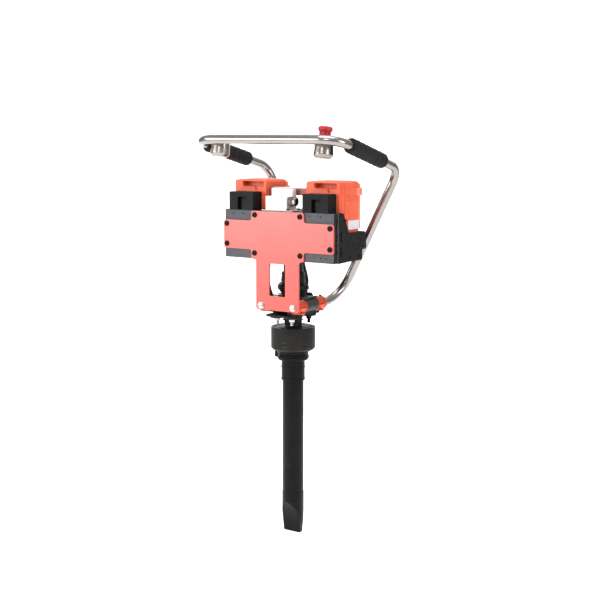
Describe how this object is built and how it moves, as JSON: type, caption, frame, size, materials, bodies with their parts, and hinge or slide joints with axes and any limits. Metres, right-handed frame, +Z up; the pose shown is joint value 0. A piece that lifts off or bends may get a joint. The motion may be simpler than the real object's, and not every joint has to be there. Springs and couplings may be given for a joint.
{
  "type": "electric jackhammer",
  "caption": "Battery-driven hand-held electric jackhammer with a hoop handle, rubber-isolated hammer unit and flat chisel tool.",
  "frame": {"origin": "middle of the chisel's flat edge, on the tool's axis", "axes": "+Z up along the tool's axis, +X to the right of the front panel as one faces it, +Y from the panel to the handle's legs"},
  "size_m": [0.5124, 0.3591, 1.1558],
  "materials": {
    "red_paint": "satin red paint",
    "orange_plastic": "moulded plastic",
    "orange_paint": "painted",
    "black_steel": "black powder coat",
    "black_plastic": "moulded plastic",
    "black_rubber": "matt rubber",
    "grip_foam": "closed-cell foam",
    "stainless": "polished stainless",
    "bright_steel": "plain steel",
    "white_plastic": "white plastic",
    "red_plastic": "red plastic",
    "copper_winding": "copper windings",
    "aluminium": "plain aluminium"
  },
  "bodies": {
    "frame": {"front_panel": "red_paint", "battery_bridge": "red_paint", "rod_clamp_front_left": "orange_paint", "rod_clamp_front_right": "orange_paint", "rod_clamp_rear_left": "orange_paint", "rod_clamp_rear_right": "orange_paint", "main_housing": "black_steel", "rear_cover": "black_steel", "side_bracket_left": "black_steel", "side_bracket_right": "black_steel", "coupling_housing": "black_steel", "receiver_block_left": "black_plastic", "receiver_block_right": "black_plastic", "box_connector": "black_plastic", "rubber_boot": "black_rubber", "isolator_bush_left": "black_rubber", "isolator_bush_right": "black_rubber", "exciter_cable": "black_rubber", "signal_cable": "black_rubber", "foam_grip_left": "grip_foam", "foam_grip_right": "grip_foam", "handle_tube": "stainless", "switch_cup_left": "stainless", "switch_cup_right": "stainless", "panel_bolt_left": "bright_steel", "panel_bolt_right": "bright_steel", "control_box": "white_plastic", "motor_stator": "copper_winding", "motor_housing": "aluminium"},
    "hammer": {"chisel_tool": "black_steel", "tool_sleeve": "black_steel", "clamp_collar": "black_steel", "exciter_housing": "black_steel", "exciter_cover": "black_steel", "lower_bearing": "bright_steel", "upper_bearing": "bright_steel", "base_plate": "black_steel", "bush_saddle_left": "black_steel", "bush_saddle_right": "black_steel", "upper_clamp_plate": "black_steel", "isolator_bolt_1": "bright_steel", "isolator_bolt_2": "bright_steel", "isolator_bolt_3": "bright_steel", "isolator_bolt_4": "bright_steel", "isolator_pad_1": "black_rubber", "isolator_pad_2": "black_rubber", "isolator_pad_3": "black_rubber", "isolator_pad_4": "black_rubber"},
    "eccentric": {"eccentric_shaft": "bright_steel", "eccentric_weight": "bright_steel"},
    "rotor": {"motor_shaft": "bright_steel", "rotor_core": "bright_steel", "coupling_spider": "red_plastic"},
    "battery_right": {"battery_right": "orange_plastic"},
    "battery_left": {"battery_left": "orange_plastic"},
    "latch_right": {"battery_latch_right": "orange_plastic"},
    "latch_left": {"battery_latch_left": "orange_plastic"},
    "stop_plunger": {"stop_plunger": "black_plastic"},
    "stop_head": {"emergency_stop": "red_plastic"},
    "start_button": {"start_button": "black_plastic"}
  },
  "joints": [
    {"name": "isolator_travel", "type": "slide", "parent": "frame", "child": "hammer", "axis": [0, 0, 1], "range_m": [-0.002, 0.002], "stiffness_N_per_m": 120000, "springref_m": 0.0008, "deforming": ["rubber_boot", "isolator_bush_left", "isolator_bush_right", "exciter_cable", "signal_cable"]},
    {"name": "rotor_spin", "type": "hinge", "parent": "frame", "child": "rotor", "pos_m": [0, 0, 0.7936], "axis": [0, 0, 1], "continuous": true},
    {"name": "eccentric_spin", "type": "hinge", "parent": "hammer", "child": "eccentric", "pos_m": [0, 0, 0.532], "axis": [0, 0, 1], "continuous": true},
    {"name": "battery_right_lift", "type": "slide", "parent": "frame", "child": "battery_right", "axis": [0, 0, 1], "range_m": [0, 0.13]},
    {"name": "battery_left_lift", "type": "slide", "parent": "frame", "child": "battery_left", "axis": [0, 0, 1], "range_m": [0, 0.13]},
    {"name": "latch_right_press", "type": "slide", "parent": "battery_right", "child": "latch_right", "axis": [-1, 0, 0], "range_m": [0, 0.0025], "stiffness_N_per_m": 400, "springref_m": -0.003},
    {"name": "latch_left_press", "type": "slide", "parent": "battery_left", "child": "latch_left", "axis": [-1, 0, 0], "range_m": [0, 0.0025], "stiffness_N_per_m": 400, "springref_m": -0.003},
    {"name": "stop_push", "type": "slide", "parent": "frame", "child": "stop_plunger", "axis": [0, -0.1564, -0.9877], "range_m": [0, 0.005], "stiffness_N_per_m": 500, "springref_m": -0.003},
    {"name": "stop_twist", "type": "hinge", "parent": "stop_plunger", "child": "stop_head", "pos_m": [0.1703, -0.10474, 1.11243], "axis": [0, 0.1564, 0.9877], "range_deg": [0, 30], "stiffness_Nm_per_rad": 0.1, "springref_deg": -5.73},
    {"name": "start_push", "type": "slide", "parent": "frame", "child": "start_button", "axis": [0, -0.1564, -0.9877], "range_m": [0, 0.003], "stiffness_N_per_m": 500, "springref_m": -0.003}
  ],
  "couplings": [
    {"joint": "eccentric_spin", "follows": "rotor_spin", "ratio": 1}
  ]
}
